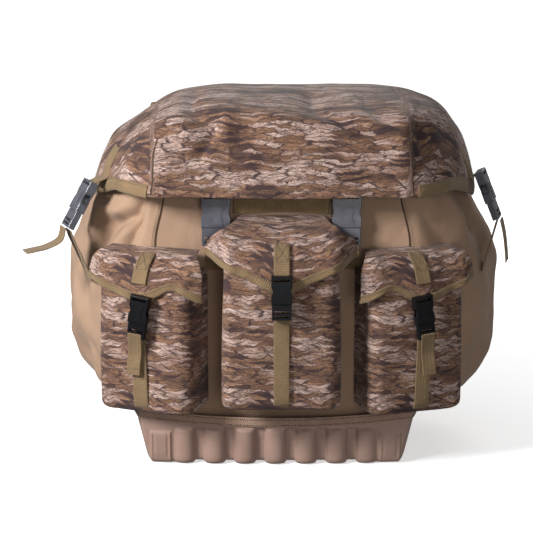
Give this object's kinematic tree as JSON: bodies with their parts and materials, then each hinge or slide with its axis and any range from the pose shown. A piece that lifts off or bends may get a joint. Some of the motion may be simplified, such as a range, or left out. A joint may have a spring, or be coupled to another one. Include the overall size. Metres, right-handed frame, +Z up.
{
  "type": "tackle backpack",
  "caption": "Wide soft backpack with moulded base tub, buckled lid, flapped front pockets, shoulder straps and haul loop.",
  "frame": {"origin": "middle of the flat underside of the moulded base", "axes": "+Z up, -Y the pocket side (front), +X to the right when looking at the front"},
  "size_m": [0.6476, 0.4537, 0.481],
  "materials": {
    "camo_fabric": "matte printed polyester, bark camouflage",
    "tan_canvas": "matte coated polyester",
    "webbing": "herringbone nylon webbing",
    "eva_foam": "satin moulded EVA",
    "black_plastic": "satin acetal",
    "grey_plastic": "satin acetal",
    "pad_mesh": "foam under spacer mesh",
    "board": "stiff sheet"
  },
  "bodies": {
    "pack": {"eva_base": "eva_foam", "base_rim_band": "webbing", "front_panel": "tan_canvas", "back_panel": "tan_canvas", "left_gusset": "tan_canvas", "right_gusset": "tan_canvas", "mouth_binding": "webbing", "back_piping": "webbing", "framesheet": "board", "back_pads": "pad_mesh", "front_band": "webbing", "pocket_straps": "webbing", "main_straps": "webbing", "side_straps": "webbing", "centre_pocket": "camo_fabric", "left_pocket": "camo_fabric", "right_pocket": "camo_fabric"},
    "lid": {"lid_shell": "camo_fabric", "lid_binding": "webbing", "lid_tabs": "webbing", "left_lid_socket": "grey_plastic", "right_lid_socket": "grey_plastic", "left_side_socket": "grey_plastic", "right_side_socket": "grey_plastic"},
    "centre_flap": {"centre_flap": "camo_fabric", "centre_flap_binding": "webbing", "centre_flap_patch": "webbing", "centre_flap_socket": "black_plastic"},
    "left_flap": {"left_flap": "camo_fabric", "left_flap_binding": "webbing", "left_flap_patch": "webbing", "left_flap_socket": "black_plastic"},
    "right_flap": {"right_flap": "camo_fabric", "right_flap_binding": "webbing", "right_flap_patch": "webbing", "right_flap_socket": "black_plastic"},
    "centre_strap_plug": {"centre_strap_plug": "black_plastic"},
    "left_lid_plug": {"left_lid_plug": "grey_plastic"},
    "left_side_plug": {"left_side_plug": "grey_plastic"},
    "left_strap_plug": {"left_strap_plug": "black_plastic"},
    "right_lid_plug": {"right_lid_plug": "grey_plastic"},
    "right_side_plug": {"right_side_plug": "grey_plastic"},
    "right_strap_plug": {"right_strap_plug": "black_plastic"},
    "left_shoulder_strap": {"left_strap_pad": "pad_mesh", "left_strap_webbing": "webbing", "left_strap_lock": "black_plastic"},
    "right_shoulder_strap": {"right_strap_pad": "pad_mesh", "right_strap_webbing": "webbing", "right_strap_lock": "black_plastic"},
    "haul_handle": {"haul_handle": "webbing"}
  },
  "joints": [
    {"name": "lid_hinge", "type": "hinge", "parent": "pack", "child": "lid", "pos_m": [0, 0.128, 0.438], "axis": [-1, 0, 0], "range_deg": [0, 100], "deforming": ["left_lid_plug", "left_side_plug", "right_lid_plug", "right_side_plug"]},
    {"name": "centre_flap_hinge", "type": "hinge", "parent": "pack", "child": "centre_flap", "pos_m": [0, -0.1262, 0.335], "axis": [-1, 0, 0], "range_deg": [0, 40], "deforming": ["centre_strap_plug"]},
    {"name": "left_flap_hinge", "type": "hinge", "parent": "pack", "child": "left_flap", "pos_m": [-0.1651, -0.12728, 0.291], "axis": [-0.9397, 0.342, 0], "range_deg": [0, 60], "deforming": ["left_strap_plug"]},
    {"name": "right_flap_hinge", "type": "hinge", "parent": "pack", "child": "right_flap", "pos_m": [0.1651, -0.12728, 0.291], "axis": [-0.9397, -0.342, 0], "range_deg": [0, 60], "deforming": ["right_strap_plug"]},
    {"name": "centre_strap_plug_release", "type": "slide", "parent": "pack", "child": "centre_strap_plug", "axis": [0, 0, -1], "range_m": [0, 0.022]},
    {"name": "left_strap_plug_release", "type": "slide", "parent": "pack", "child": "left_strap_plug", "axis": [-0.1308, 0.0476, -0.9903], "range_m": [0, 0.022]},
    {"name": "right_strap_plug_release", "type": "slide", "parent": "pack", "child": "right_strap_plug", "axis": [0.1308, 0.0476, -0.9903], "range_m": [0, 0.022]},
    {"name": "left_lid_plug_release", "type": "slide", "parent": "pack", "child": "left_lid_plug", "axis": [0, 0, -1], "range_m": [0, 0.026]},
    {"name": "right_lid_plug_release", "type": "slide", "parent": "pack", "child": "right_lid_plug", "axis": [0, 0, -1], "range_m": [0, 0.026]},
    {"name": "left_side_plug_release", "type": "slide", "parent": "pack", "child": "left_side_plug", "axis": [-0.4698, -0.171, -0.866], "range_m": [0, 0.026]},
    {"name": "right_side_plug_release", "type": "slide", "parent": "pack", "child": "right_side_plug", "axis": [0.365, -0.0843, -0.9272], "range_m": [0, 0.026]},
    {"name": "left_strap_swing", "type": "hinge", "parent": "pack", "child": "left_shoulder_strap", "pos_m": [-0.095, 0.141, 0.395], "axis": [0.3714, 0, 0.9285], "range_deg": [-20, 40], "deforming": ["left_strap_webbing"]},
    {"name": "right_strap_swing", "type": "hinge", "parent": "pack", "child": "right_shoulder_strap", "pos_m": [0.095, 0.141, 0.395], "axis": [0.3714, 0, -0.9285], "range_deg": [-20, 40], "deforming": ["right_strap_webbing"]},
    {"name": "haul_handle_hinge", "type": "hinge", "parent": "pack", "child": "haul_handle", "pos_m": [0, 0.139, 0.405], "axis": [1, 0, 0], "range_deg": [0, 120]}
  ]
}
